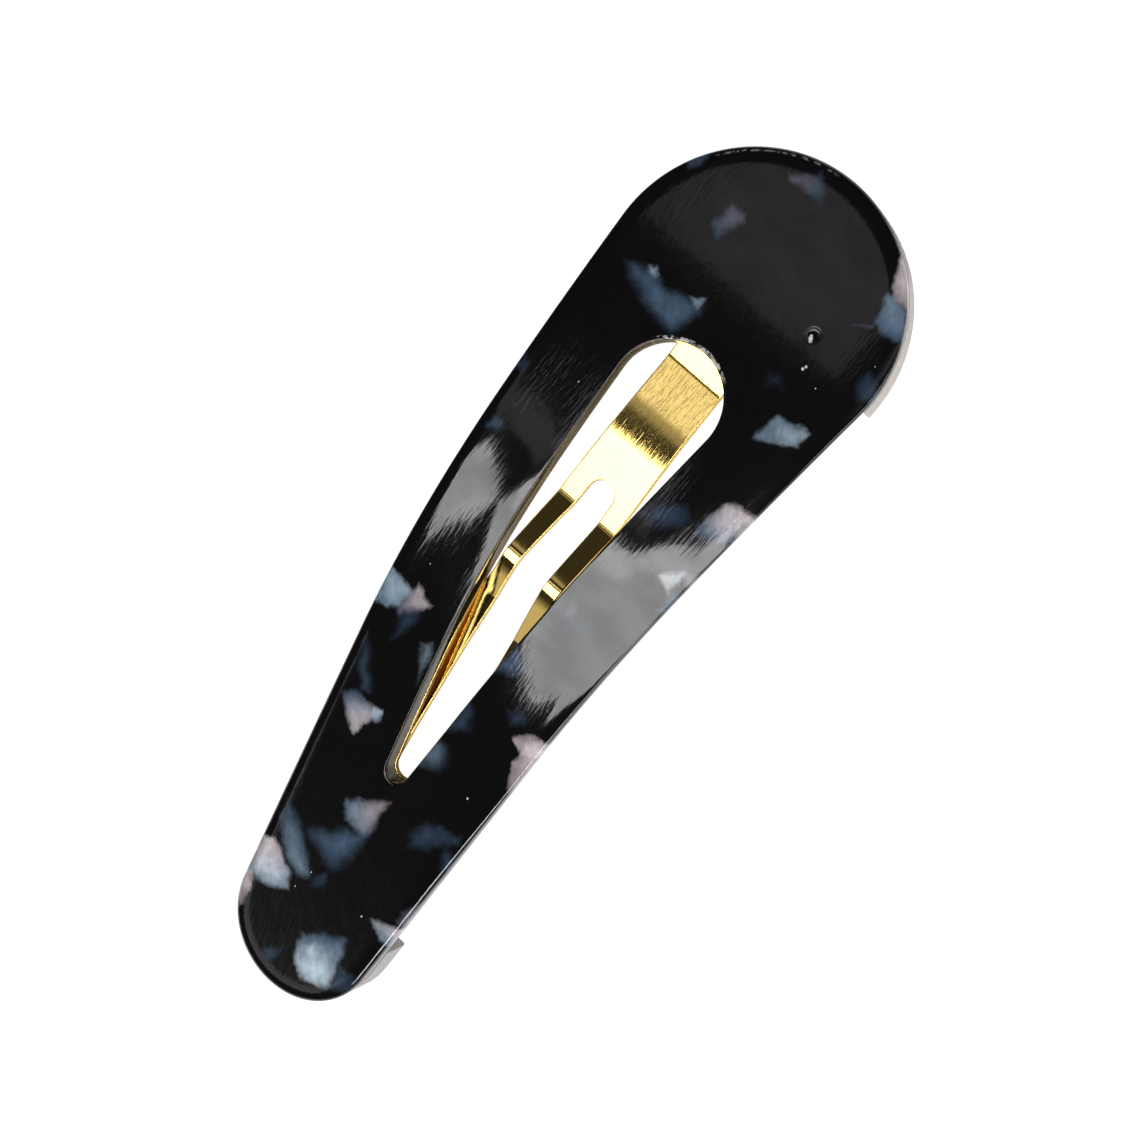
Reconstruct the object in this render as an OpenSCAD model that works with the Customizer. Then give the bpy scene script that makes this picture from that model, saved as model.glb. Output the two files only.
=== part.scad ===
// Snap hair clip with a teardrop plate of polished acetate.
// A bent plate with a long opening lies over a sprung sheet-metal frame. A tongue with a slot runs
// below the opening from the frame's wide end, and a pad closes each end of the frame from below.
//
// Flat places along the clip are called s. They are measured on the plate's top face from the centre
// of the wide head, more toward the head's tip and less toward the tail. Depths go down from the top
// face, square to it. The function at(s, depth) bends such a place into the resting clip, which
// stands on the tips of its two pads with the head toward +X.

/* [Top plate] */
// Radius of the wide head of the flat plate
head_r = 13.5; // [12.5:0.1:15]
// Radius of the narrow tail of the flat plate
tail_r = 7.1; // [6.6:0.1:8.5]
// Distance between the centres of the head and the tail, along the flat plate
ends_gap = 69.8; // [66:0.2:78]
// How far each long side bulges past a straight line
side_bulge = 0.15; // [0:0.05:0.5]
// Thickness of the plate
plate_t = 1.6; // [1.2:0.1:2.2]
// Radius of the plate's polished outer edges
edge_r = 0.45; // [0.2:0.05:0.55]

/* [Opening] */
// Radius of the opening's wide end
open_head_r = 5.2; // [4.8:0.1:6]
// Radius of the opening's narrow end
open_tail_r = 1.1; // [0.9:0.05:1.6]
// Distance from the head's centre to the centre of the opening's wide end
open_at = 10.4; // [9.4:0.1:11.4]
// Distance between the centres of the opening's two ends
open_gap = 41.5; // [40:0.25:45]
// How far each long edge of the opening bulges past a straight line
open_bulge = 0.25; // [0:0.05:0.4]
// Radius of the opening's polished edges
open_edge_r = 0.2; // [0.1:0.05:0.4]

/* [Bend] */
// Angle of the gentle bend below the head
soft_angle = 7.4; // [4:0.2:11]
// Length of the gentle bend along the plate
soft_len = 26.8; // [22:0.2:30]
// Place where the gentle bend starts, from the head's centre toward the tip
soft_from = 7.8; // [5:0.2:10]
// Angle of the main bend
main_angle = 23.7; // [18:0.3:28]
// Length of the main bend along the plate
main_len = 24.8; // [22:0.2:30]

/* [Pads] */
// Thickness of the pad below the head
head_pad_t = 2.6; // [2.2:0.1:3.6]
// Thickness of the pad below the tail
tail_pad_t = 3; // [2.2:0.1:3.8]
// Distance that the head pad reaches past the head's centre, toward the tail
head_pad_back = 0.5; // [0:0.1:2]
// Distance that the tail pad reaches past the tail's centre, toward the head
tail_pad_front = 2.4; // [1:0.1:5]
// Radius of the pads' lower edges
pad_edge_r = 0.4; // [0.2:0.05:0.7]

/* [Metal] */
// Thickness of the sheet that the frame and the tongue are made of
sheet_t = 0.5; // [0.4:0.05:0.6]
// Distance from the plate's outline to the frame's outline
frame_margin = 2; // [1.5:0.1:2.6]
// Layer of glue on each side of the frame
glue_t = 0.1; // [0.05:0.05:0.2]
// Room around the frame inside the pads
pocket_room = 0.2; // [0.1:0.05:0.4]

/* [Tongue] */
// Length of the flat tongue from its root to its tip
tongue_len = 54.8; // [52:0.2:57]
// Width of the tongue where its slot starts
tongue_w = 6.4; // [5.6:0.1:6.6]
// Length of the tongue's root that lies below the plate's head
root_hidden = 1.3; // [1:0.1:2]
// Depth of the tongue's legs below the frame's sheet, along the tail
tongue_sink = 1.4; // [1.2:0.1:2.2]
// Width of the slot between the tongue's legs, near the tail
slot_w = 3.3; // [2.6:0.1:3.6]
// Distance from the tongue's root to the slot
slot_from = 15.4; // [13:0.2:17]
// Metal left between the slot and the tongue's tip
tip_land = 4; // [3:0.25:6]
// Clearance between the tongue's root and the frame
root_gap = 0.15; // [0.1:0.05:0.3]

/* [Hidden] */

black_acetate = "#17171c";
grey_acetate = "#c9bfb4";
gold = "#d8b25a";

// Steps round the head, round the tail and along each side of an outline
head_steps = 32;
tail_steps = 20;
side_steps = 22;
// Steps along each bend of the sheet, and round a quarter of an edge
bend_steps = 12;
edge_steps = 3;
round_fn = 96;

soft_r = soft_len / (soft_angle * PI / 180);
main_r = main_len / (main_angle * PI / 180);
main_from = soft_from - soft_len;
straight_from = main_from - main_len;
full_angle = soft_angle + main_angle;

// Upward normal of a surface that climbs toward the head by an angle
function normal(angle) = [-sin(angle), cos(angle)];

soft_centre = [soft_from, -soft_r];
main_centre = soft_centre + (soft_r - main_r) * normal(soft_angle);
straight_start = main_centre + main_r * normal(full_angle);

// Side view of the bent clip with the head level: a place s and a depth give x and z
function bent(s, depth) =
    s > soft_from ? [s, -depth]
    : s > main_from ? soft_centre + (soft_r - depth) * normal(soft_angle * (soft_from - s) / soft_len)
    : s > straight_from ? main_centre
        + (main_r - depth) * normal(soft_angle + main_angle * (main_from - s) / main_len)
    : straight_start + (s - straight_from) * [cos(full_angle), sin(full_angle)]
        - depth * normal(full_angle);

// The clip stands on the rounded lower edges of its pads, at the tips of the head and the tail
frame_depth = plate_t + glue_t;
tail_s = -ends_gap;
head_foot = bent(head_r - pad_edge_r, frame_depth + head_pad_t - pad_edge_r);
tail_foot = bent(tail_s - tail_r + pad_edge_r, frame_depth + tail_pad_t - pad_edge_r);
foot_line = head_foot - tail_foot;
pitch = atan2(foot_line[1], foot_line[0]);

function level(p) = [p[0] * cos(pitch) + p[1] * sin(pitch), p[1] * cos(pitch) - p[0] * sin(pitch)];

head_end = level(bent(head_r - edge_r, edge_r))[0] + edge_r;
tail_end = level(bent(tail_s - tail_r + edge_r, edge_r))[0] - edge_r;
ground = [(head_end + tail_end) / 2, level(head_foot)[1] - pad_edge_r];

// Side view of the resting clip: x and z of a place s at a depth
function at(s, depth) = level(bent(s, depth)) - ground;

function mix(a, b, share) = a * (1 - share) + b * share;

// Outline of a flat teardrop: wide end of radius big centred at place from, narrow end of radius
// small, gap between the centres, and sides that bulge. Always the same number of points.
function teardrop(from, big, small, gap, bulge) =
    let (
        lean = asin((big - small) / gap),
        turn = 90 + lean,
        side = [cos(turn), sin(turn)],
        under = [cos(turn), -sin(turn)],
        wide = [from, 0],
        narrow = [from - gap, 0]
    )
    concat(
        [for (i = [0:head_steps - 1])
            let (a = -turn + 2 * turn * i / head_steps)
            wide + big * [cos(a), sin(a)]],
        [for (i = [0:side_steps - 1])
            let (f = i / side_steps)
            mix(wide + big * side, narrow + small * side, f) + 4 * bulge * f * (1 - f) * side],
        [for (i = [0:tail_steps - 1])
            let (a = turn + (360 - 2 * turn) * i / tail_steps)
            narrow + small * [cos(a), sin(a)]],
        [for (i = [0:side_steps - 1])
            let (f = i / side_steps)
            mix(narrow + small * under, wide + big * under, f) + 4 * bulge * f * (1 - f) * under]
    );

// Outline of the plate, drawn in from its rim, and of its opening, drawn out from its edge
function plate_outline(inset) =
    teardrop(0, head_r - inset, tail_r - inset, ends_gap, side_bulge);
function open_outline(outset) =
    teardrop(-open_at, open_head_r + outset, open_tail_r + outset, open_gap, open_bulge);

// Flat outline at a depth, bent into the resting clip
function bent_loop(outline, depth) =
    [for (p = outline) let (q = at(p[0], depth)) [q[0], p[1], q[1]]];

// Plan view of a flat outline after the bend, at one depth
function plan(outline, depth) = [for (p = outline) [at(p[0], depth)[0], p[1]]];

// Places between two outlines of the same count
function between(outer, inner, share) = [for (i = [0:len(outer) - 1]) mix(outer[i], inner[i], share)];

// Faces of the skin between two loops of points that follow each other in a polyhedron
function strip(row, next, count) =
    [for (i = [0:count - 1]) let (k = (i + 1) % count) each [
        [row * count + i, next * count + i, next * count + k],
        [row * count + i, next * count + k, row * count + k]
    ]];

// Solid ring whose skin runs through closed loops, the last of which joins the first
module ring_solid(loops) {
    rows = len(loops);
    polyhedron(
        points = [for (loop = loops) each loop],
        faces = [for (row = [0:rows - 1]) each strip(row, (row + 1) % rows, len(loops[0]))],
        convexity = 10
    );
}

// Solid whose skin runs up through closed loops, with a flat face on the first and the last
module stack_solid(loops) {
    count = len(loops[0]);
    last = len(loops) - 1;
    polyhedron(
        points = [for (loop = loops) each loop],
        faces = concat(
            [[for (i = [0:count - 1]) i]],
            [for (row = [0:last - 1]) each strip(row, row + 1, count)],
            [[for (i = [count - 1:-1:0]) last * count + i]]
        ),
        convexity = 10
    );
}

// Angles round a quarter of a rounded edge
quarter = [for (k = [0:edge_steps]) 90 * k / edge_steps];
// Where the rows of points across a flat face lie, as shares of the way from its rim to the opening
face_rows = [1 / 3, 2 / 3];

module top_plate() {
    outer_top = [for (a = quarter)
        bent_loop(plate_outline(edge_r * (1 - sin(a))), edge_r * (1 - cos(a)))];
    outer_low = [for (a = quarter)
        bent_loop(plate_outline(edge_r * (1 - cos(a))), plate_t - edge_r * (1 - sin(a)))];
    inner_low = [for (a = quarter)
        bent_loop(open_outline(open_edge_r * (1 - sin(a))), plate_t - open_edge_r * (1 - cos(a)))];
    inner_top = [for (a = quarter)
        bent_loop(open_outline(open_edge_r * (1 - cos(a))), open_edge_r * (1 - sin(a)))];
    rim = plate_outline(edge_r);
    lip = open_outline(open_edge_r);
    below = [for (share = face_rows) bent_loop(between(rim, lip, share), plate_t)];
    above = [for (share = face_rows) bent_loop(between(lip, rim, share), 0)];
    color(black_acetate)
        ring_solid(concat(outer_top, outer_low, below, inner_low, inner_top, above));
}

// Sheet that follows the bent clip between two depths, wider than the clip
module bent_sheet(top_depth, low_depth) {
    reach = head_r;
    places = concat(
        [head_r + reach],
        [for (k = [0:bend_steps]) soft_from - soft_len * k / bend_steps],
        [for (k = [1:2 * bend_steps]) main_from - main_len * k / (2 * bend_steps)],
        [tail_s - tail_r - reach]
    );
    last = len(places) - 1;
    rotate([90, 0, 0])
        linear_extrude(height = 4 * head_r, center = true)
            polygon(concat(
                [for (s = places) at(s, top_depth)],
                [for (i = [last:-1:0]) at(places[i], low_depth)]
            ));
}

// Half section of a pad out to a radius, its lower edge rounded and its top at y = 0
module pad_section(radius, thick) {
    translate([0, -thick])
        square([radius - pad_edge_r, thick]);
    translate([0, pad_edge_r - thick])
        square([radius, thick - pad_edge_r]);
    translate([radius - pad_edge_r, pad_edge_r - thick])
        intersection() {
            circle(r = pad_edge_r, $fn = round_fn);
            translate([0, -pad_edge_r])
                square(pad_edge_r);
        }
}

// Round hole through everything near the origin
module round_hole(radius) {
    cylinder(h = head_r, r = radius, center = true, $fn = round_fn);
}

// Block that takes away all of a pad past a place along x, toward +x or toward -x
module past(limit, toward) {
    size = 4 * ends_gap;
    translate([limit + toward * size / 2, 0, 0])
        cube(size, center = true);
}

// Places children so that their origin is on the plate's underside at s, level with it there
module on_underside(s, climb) {
    p = at(s, frame_depth);
    translate([p[0], 0, p[1]])
        rotate([0, pitch - climb, 0])
            children();
}

module head_pad() {
    color(grey_acetate)
        difference() {
            on_underside(head_r, 0)
                translate([-head_r, 0, 0])
                    difference() {
                        rotate_extrude($fn = round_fn)
                            pad_section(head_r, head_pad_t);
                        past(-head_pad_back, -1);
                    }
            bent_sheet(-plate_t, frame_depth);
            intersection() {
                bent_sheet(plate_t, frame_depth + sheet_t + glue_t);
                on_underside(head_r, 0)
                    translate([-head_r, 0, 0])
                        round_hole(head_r - frame_margin + pocket_room);
            }
        }
}

// Outline of the flat plate drawn in from its rim, with the tail's centre at the origin
function tail_outline(inset) =
    teardrop(ends_gap, head_r - inset, tail_r - inset, ends_gap, side_bulge);

module tail_pad() {
    low_edge = [for (a = quarter)
        [for (p = tail_outline(pad_edge_r * (1 - sin(a))))
            [p[0], p[1], pad_edge_r * (1 - cos(a)) - tail_pad_t]]];
    top = [for (p = tail_outline(0)) [p[0], p[1], 0]];
    color(grey_acetate)
        on_underside(tail_s, full_angle)
            difference() {
                stack_solid(concat(low_edge, [top]));
                linear_extrude(height = 2 * (sheet_t + glue_t), center = true)
                    polygon(tail_outline(frame_margin - pocket_room));
                past(tail_pad_front, 1);
            }
}

// Root of the tongue, the line that it bends about
open_end = open_head_r - open_at;
root_s = open_end + root_hidden;
root_depth = frame_depth + sheet_t / 2;
notch_w = tongue_w + 2 * root_gap;

module frame() {
    outer = teardrop(0, head_r - frame_margin, tail_r - frame_margin, ends_gap, side_bulge);
    notch_end = at(root_s + sheet_t / 2 + root_gap, root_depth)[0];
    notch_start = at(open_end - open_head_r, root_depth)[0];
    color(gold)
        intersection() {
            bent_sheet(frame_depth, frame_depth + sheet_t);
            linear_extrude(height = 2 * ends_gap, center = true)
                difference() {
                    polygon(plan(outer, root_depth));
                    polygon(plan(open_outline(0), root_depth));
                    translate([notch_start, -notch_w / 2])
                        square([notch_end - notch_start, notch_w]);
                }
        }
}

// Line of the tongue's top face. Each row: share of the tongue's length from its root, and sink
// below the frame's sheet as a share of tongue_sink.
tongue_line = [
    [0.000, 0.00],
    [0.062, 0.10],
    [0.080, 0.18],
    [0.210, 0.64],
    [0.336, 1.12],
    [0.350, 1.07],
    [0.451, -0.14],
    [0.460, -0.21],
    [0.475, -0.23],
    [0.488, -0.14],
    [0.500, 0.00],
    [0.542, 0.48],
    [0.610, 0.90],
    [0.730, 1.00],
    [1.000, 1.00]
];

function tongue_s(share) = root_s - tongue_len * share;

// Sides of the tongue. Each row: share of its length, and half width as a share of tongue_w / 2.
tongue_sides = [
    [0.00, 0.94],
    [0.10, 0.94],
    [0.28, 1.00],
    [0.35, 1.00],
    [0.47, 0.95],
    [0.54, 0.91],
    [0.60, 0.92]
];

// Sides of the slot. Each row: share of the slot's length, and half width as a share of slot_w / 2.
slot_sides = [
    [0.04, 0.78],
    [0.15, 0.86],
    [0.32, 0.93],
    [0.55, 1.00]
];

module tongue_side_view() {
    tops = [for (row = tongue_line) at(tongue_s(row[0]), frame_depth + tongue_sink * row[1])];
    last = len(tops) - 1;
    along = [for (i = [0:last - 1]) (tops[i + 1] - tops[i]) / norm(tops[i + 1] - tops[i])];
    // Offset of each point square to the sheet, longer at a bend so that the sheet keeps its thickness
    lows = [for (i = [0:last])
        let (
            a = along[max(i - 1, 0)],
            b = along[min(i, last - 1)],
            middle = (a + b) / norm(a + b)
        )
        tops[i] + [-middle[1], middle[0]] * sheet_t / (middle * a)];
    rotate([90, 0, 0])
        linear_extrude(height = 2 * tongue_w, center = true)
            polygon(concat(tops, [for (i = [last:-1:0]) lows[i]]));
}

function tongue_x(share) = at(tongue_s(share), root_depth)[0];

module tongue_plan() {
    tip_r = tongue_w * tongue_sides[len(tongue_sides) - 1][1] / 2;
    tip_centre = tongue_x(1) + tip_r;
    slot_len = tongue_len - slot_from - tip_land;
    function slot_x(share) = tongue_x((slot_from + slot_len * share) / tongue_len);
    sides = [for (row = tongue_sides) [tongue_x(row[0]), tongue_w / 2 * row[1]]];
    slot_start_r = slot_w / 2 * slot_sides[0][1];
    slot_start = slot_x(0) - slot_start_r;
    slot_tip = slot_x(1) + slot_w / 2;
    slots = [for (row = slot_sides) [slot_x(row[0]), slot_w / 2 * row[1]]];
    upper = concat(sides, [[tip_centre, tip_r]]);
    slot_upper = concat([[slot_start, slot_start_r]], slots, [[slot_tip, slot_w / 2]]);
    difference() {
        union() {
            polygon(concat(upper, [for (i = [len(upper) - 1:-1:0]) [upper[i][0], -upper[i][1]]]));
            translate([tip_centre, 0])
                circle(r = tip_r, $fn = round_fn);
        }
        polygon(concat(
            slot_upper,
            [for (i = [len(slot_upper) - 1:-1:0]) [slot_upper[i][0], -slot_upper[i][1]]]
        ));
        translate([slot_start, 0])
            circle(r = slot_start_r, $fn = round_fn);
        translate([slot_tip, 0])
            circle(r = slot_w / 2, $fn = round_fn);
    }
}

module tongue() {
    root = at(root_s, root_depth);
    color(gold)
        union() {
            intersection() {
                tongue_side_view();
                linear_extrude(height = 2 * ends_gap, center = true)
                    tongue_plan();
            }
            translate([root[0], 0, root[1]])
                rotate([90, 0, 0])
                    cylinder(h = tongue_w * tongue_sides[0][1], d = sheet_t, center = true, $fn = round_fn);
        }
}

top_plate();
head_pad();
tail_pad();
frame();
tongue();
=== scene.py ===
# Snap hair clip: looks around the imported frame.
# Places on the clip are flat places in millimetres, as in the part's source: s along the plate's top
# face from the head's centre (more toward the head's tip), y across, and depth down from the top face.
import math

import bmesh
import bpy
from mathutils import Matrix, Vector


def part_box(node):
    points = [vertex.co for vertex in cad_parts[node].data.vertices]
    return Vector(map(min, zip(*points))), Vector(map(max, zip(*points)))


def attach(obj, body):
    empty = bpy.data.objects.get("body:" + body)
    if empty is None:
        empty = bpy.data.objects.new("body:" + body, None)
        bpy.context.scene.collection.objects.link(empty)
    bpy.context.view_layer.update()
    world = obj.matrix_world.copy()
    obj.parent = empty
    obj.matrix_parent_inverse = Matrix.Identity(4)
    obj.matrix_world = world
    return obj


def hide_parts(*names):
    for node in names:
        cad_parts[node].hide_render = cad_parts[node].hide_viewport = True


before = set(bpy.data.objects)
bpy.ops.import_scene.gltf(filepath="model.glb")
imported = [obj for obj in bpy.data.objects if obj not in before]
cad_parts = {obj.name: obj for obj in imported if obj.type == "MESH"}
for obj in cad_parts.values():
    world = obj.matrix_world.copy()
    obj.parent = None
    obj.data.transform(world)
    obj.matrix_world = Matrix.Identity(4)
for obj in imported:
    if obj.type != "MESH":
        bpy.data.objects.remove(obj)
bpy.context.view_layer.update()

MM = 0.001

# Sizes of the part, in millimetres and degrees, as in its source
HEAD_R, TAIL_R, ENDS_GAP, SIDE_BULGE = 13.5, 7.1, 69.8, 0.15
PLATE_T, EDGE_R = 1.6, 0.45
OPEN_HEAD_R, OPEN_TAIL_R, OPEN_AT, OPEN_GAP, OPEN_BULGE = 5.2, 1.1, 10.4, 41.5, 0.25
SOFT_ANGLE, SOFT_LEN, SOFT_FROM = 7.4, 26.8, 7.8
MAIN_ANGLE, MAIN_LEN = 23.7, 24.8
HEAD_PAD_T, TAIL_PAD_T, PAD_EDGE_R = 2.6, 3.0, 0.4
SHEET_T, FRAME_MARGIN, GLUE_T = 0.5, 2.0, 0.1
TONGUE_LEN, TONGUE_W, ROOT_HIDDEN = 54.8, 6.4, 1.3
SLOT_W, SLOT_FROM, TIP_LAND, ROOT_GAP = 3.3, 15.4, 4.0, 0.15

FRAME_DEPTH = PLATE_T + GLUE_T
FULL_ANGLE = SOFT_ANGLE + MAIN_ANGLE
SOFT_R = SOFT_LEN / math.radians(SOFT_ANGLE)
MAIN_R = MAIN_LEN / math.radians(MAIN_ANGLE)
MAIN_FROM = SOFT_FROM - SOFT_LEN
STRAIGHT_FROM = MAIN_FROM - MAIN_LEN
ROOT_S = OPEN_HEAD_R - OPEN_AT + ROOT_HIDDEN


# The bent clip at rest

def normal(angle):
    """Upward normal, in side view, of a surface that climbs toward the head by an angle in degrees."""
    return Vector((-math.sin(math.radians(angle)), math.cos(math.radians(angle))))


SOFT_CENTRE = Vector((SOFT_FROM, -SOFT_R))
MAIN_CENTRE = SOFT_CENTRE + (SOFT_R - MAIN_R) * normal(SOFT_ANGLE)
STRAIGHT_START = MAIN_CENTRE + MAIN_R * normal(FULL_ANGLE)


def bent(s, depth):
    """Side view of the bent clip with the head level, in millimetres."""
    if s > SOFT_FROM:
        return Vector((s, -depth))
    if s > MAIN_FROM:
        return SOFT_CENTRE + (SOFT_R - depth) * normal(SOFT_ANGLE * (SOFT_FROM - s) / SOFT_LEN)
    if s > STRAIGHT_FROM:
        return MAIN_CENTRE + (MAIN_R - depth) * normal(SOFT_ANGLE + MAIN_ANGLE * (MAIN_FROM - s) / MAIN_LEN)
    along = Vector((math.cos(math.radians(FULL_ANGLE)), math.sin(math.radians(FULL_ANGLE))))
    return STRAIGHT_START + (s - STRAIGHT_FROM) * along - depth * normal(FULL_ANGLE)


HEAD_FOOT = bent(HEAD_R - PAD_EDGE_R, FRAME_DEPTH + HEAD_PAD_T - PAD_EDGE_R)
TAIL_FOOT = bent(-ENDS_GAP - TAIL_R + PAD_EDGE_R, FRAME_DEPTH + TAIL_PAD_T - PAD_EDGE_R)
PITCH = math.atan2(HEAD_FOOT.y - TAIL_FOOT.y, HEAD_FOOT.x - TAIL_FOOT.x)


def level(p):
    """Turns a side-view point into the clip's resting tilt."""
    cosine, sine = math.cos(PITCH), math.sin(PITCH)
    return Vector((p.x * cosine + p.y * sine, p.y * cosine - p.x * sine))


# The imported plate's box gives the place of the resting clip along X, and the floor is at zero
plate_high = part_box("top_plate")[1]
HEAD_END = level(bent(HEAD_R - EDGE_R, EDGE_R)).x + EDGE_R
GROUND = Vector((HEAD_END - plate_high.x / MM, level(HEAD_FOOT).y - PAD_EDGE_R))


def place(s, y, depth):
    """A flat place on the resting clip, in metres."""
    p = level(bent(s, depth)) - GROUND
    return Vector((p.x, y, p.y)) * MM


# Outlines, as lists of flat (s, y) points in the order of the part's own outline

def mix(a, b, share):
    return a * (1 - share) + b * share


def arc(centre, radius, start, end, count):
    """Points round part of a circle, without the last one. Angles are in degrees."""
    turns = [math.radians(mix(start, end, i / count)) for i in range(count)]
    return [Vector((centre + radius * math.cos(t), radius * math.sin(t))) for t in turns]


def bulged(a, b, out, bulge, count):
    """Points along a side from a to b that bulges toward out, without the last one."""
    return [mix(a, b, f) + 4 * bulge * f * (1 - f) * out for f in (i / count for i in range(count))]


HEAD_STEPS, SIDE_STEPS, TAIL_STEPS = 96, 130, 64


def teardrop(centre, big, small, gap, bulge):
    """Teardrop with its wide end centred at a place s and its narrow end toward the tail."""
    turn = 90 + math.degrees(math.asin((big - small) / gap))
    side = Vector((math.cos(math.radians(turn)), math.sin(math.radians(turn))))
    under = Vector((side.x, -side.y))
    wide, narrow = Vector((centre, 0)), Vector((centre - gap, 0))
    return (
        arc(centre, big, -turn, turn, HEAD_STEPS)
        + bulged(wide + big * side, narrow + small * side, side, bulge, SIDE_STEPS)
        + arc(centre - gap, small, turn, 360 - turn, TAIL_STEPS)
        + bulged(narrow + small * under, wide + big * under, under, bulge, SIDE_STEPS)
    )


def plate_outline(inset):
    return teardrop(0, HEAD_R - inset, TAIL_R - inset, ENDS_GAP, SIDE_BULGE)


def open_outline(outset):
    return teardrop(-OPEN_AT, OPEN_HEAD_R + outset, OPEN_TAIL_R + outset, OPEN_GAP, OPEN_BULGE)


# The polished wide end of the plate's opening stands in a little past the frame's
OPEN_IN = 0.17
POLISHED_AT, POLISHED_R = -OPEN_AT - OPEN_IN, OPEN_HEAD_R - OPEN_IN


def polished_opening(outset):
    return teardrop(POLISHED_AT, POLISHED_R + outset, OPEN_TAIL_R + outset, OPEN_GAP - OPEN_IN, OPEN_BULGE)


CLOSE_SHARE = 0.02


def shares(count):
    """Even shares between 0 and 1, with one close to each end so that the shading stays flat."""
    return [CLOSE_SHARE] + [k / count for k in range(1, count)] + [1 - CLOSE_SHARE]


# Meshes

def at_depth(outline, depth):
    """A row of flat places: an outline at one depth."""
    return [(p.x, p.y, depth) for p in outline]


# Points closer than this are one point, in millimetres
WELD = 0.002


def finish_piece(name, mesh, body, slot, finish, *stands_for):
    """Turns a mesh into a piece that rides on a body and stands for the CAD nodes named."""
    bmesh.ops.remove_doubles(mesh, verts=mesh.verts, dist=WELD * MM)
    bmesh.ops.recalc_face_normals(mesh, faces=mesh.faces)
    data = bpy.data.meshes.new(name)
    mesh.to_mesh(data)
    mesh.free()
    data.shade_smooth()
    data.materials.append(finish)
    piece = bpy.data.objects.new(name, data)
    bpy.context.scene.collection.objects.link(piece)
    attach(piece, body)
    if stands_for:
        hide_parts(*stands_for)


def laid_out(rows):
    """Mesh with a point at every flat place of some rows. Returns the mesh and its grid of points."""
    mesh = bmesh.new()
    flat = mesh.verts.layers.float_vector.new("flat")
    grid = []
    for row in rows:
        grid.append([])
        for s, y, depth in row:
            point = mesh.verts.new(place(s, y, depth))
            point[flat] = Vector((s, y, depth))
            grid[-1].append(point)
    return mesh, grid


def ring_mesh(rows):
    """Closed ring: rows are loops, and the last row joins the first."""
    mesh, grid = laid_out(rows)
    count = len(rows[0])
    for k in range(len(rows)):
        a, b = grid[k], grid[(k + 1) % len(rows)]
        for i in range(count):
            j = (i + 1) % count
            mesh.faces.new((a[i], a[j], b[j], b[i]))
    return mesh


def rounded(width, height, steps):
    """Rounded edge from a flat face to a wall: pairs of distance from the wall and depth."""
    turns = [math.radians(90 * k / steps) for k in range(steps + 1)]
    return [(width * (1 - math.sin(t)), height * (1 - math.cos(t))) for t in turns]


# Line of the plate's polished outer edge: inset from the wall as a share of POLISH_W, and depth as a
# share of POLISH_H
POLISH_W, POLISH_H, LOW_EDGE_R = 1.5, 0.52, 0.3
POLISH_LINE = [
    (1.000, 0.000), (0.950, 0.003), (0.880, 0.009), (0.830, 0.014), (0.780, 0.019), (0.720, 0.028),
    (0.640, 0.048), (0.520, 0.100), (0.389, 0.175), (0.278, 0.260), (0.183, 0.370), (0.111, 0.490),
    (0.056, 0.630), (0.017, 0.800), (0.000, 1.000),
]
LIP_W, LIP_H = 0.14, 0.14
FACE_ROWS, UNDER_ROWS = 26, 8
LOW_EDGE_STEPS, LIP_STEPS, LOW_LIP_STEPS = 4, 5, 3

# Pit in the head: flat place, radius, depth, tilt of its floor in degrees, how steeply its wall drops,
# and the distances from its middle within which the faces are made finer, one after another
PIT, PIT_R, PIT_DEPTH, PIT_TILT = Vector((1.5, -6.2)), 0.74, 0.22, 2.6
PIT_STEEP = 8
PIT_FINER = (1.6, 1.3, 1.0)

# Gentle waves that hand polishing left in the top face, on the side of positive y and on the other:
# height in mm, place s, distance from the middle line, and reach along and across
WAVES = {
    1: [(0.062, -25.5, 5.0, 3.4, 0.73), (0.091, -29.7, 3.8, 2.65, 0.90), (-0.073, -29.6, 8.4, 9.97, 1.49)],
    -1: [(-0.038, -36.4, 7.5, 6.7, 1.71), (0.031, -37.1, 9.2, 2.86, 0.70), (0.067, -21.7, 7.5, 5.04, 1.40)],
}
# Crown of the top face: how strongly it curves down on each side, the distance from the middle line
# where that starts, and the places s between which it fades out toward the tail
CROWN = {1: 0.004, -1: 0.012}
CROWN_FROM = 3.0
CROWN_FADES = (-60, -46)


def between(a, b, share):
    return [mix(p, q, share) for p, q in zip(a, b)]


def swell(x, low, high):
    """0 below low, 1 above high and a smooth rise between them."""
    x = min(max((x - low) / (high - low), 0), 1)
    return x * x * (3 - 2 * x)


def sag(s, y):
    """How far the polished top face lies below its true bend at a flat place, in millimetres."""
    side = 1 if y > 0 else -1
    out = abs(y)
    height = -CROWN[side] / 2 * max(out - CROWN_FROM, 0) ** 2 * swell(s, *CROWN_FADES)
    for rise, at_s, at_y, along, across in WAVES[side]:
        height += rise * math.exp(-((s - at_s) / along) ** 2 / 2 - ((out - at_y) / across) ** 2 / 2)
    return -height


def polished(row):
    """Lowers a row of the top face or its edge by the polish, less and less down the wall."""
    return [(s, y, depth + sag(s, y) * max(1 - depth / POLISH_H, 0)) for s, y, depth in row]


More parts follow.
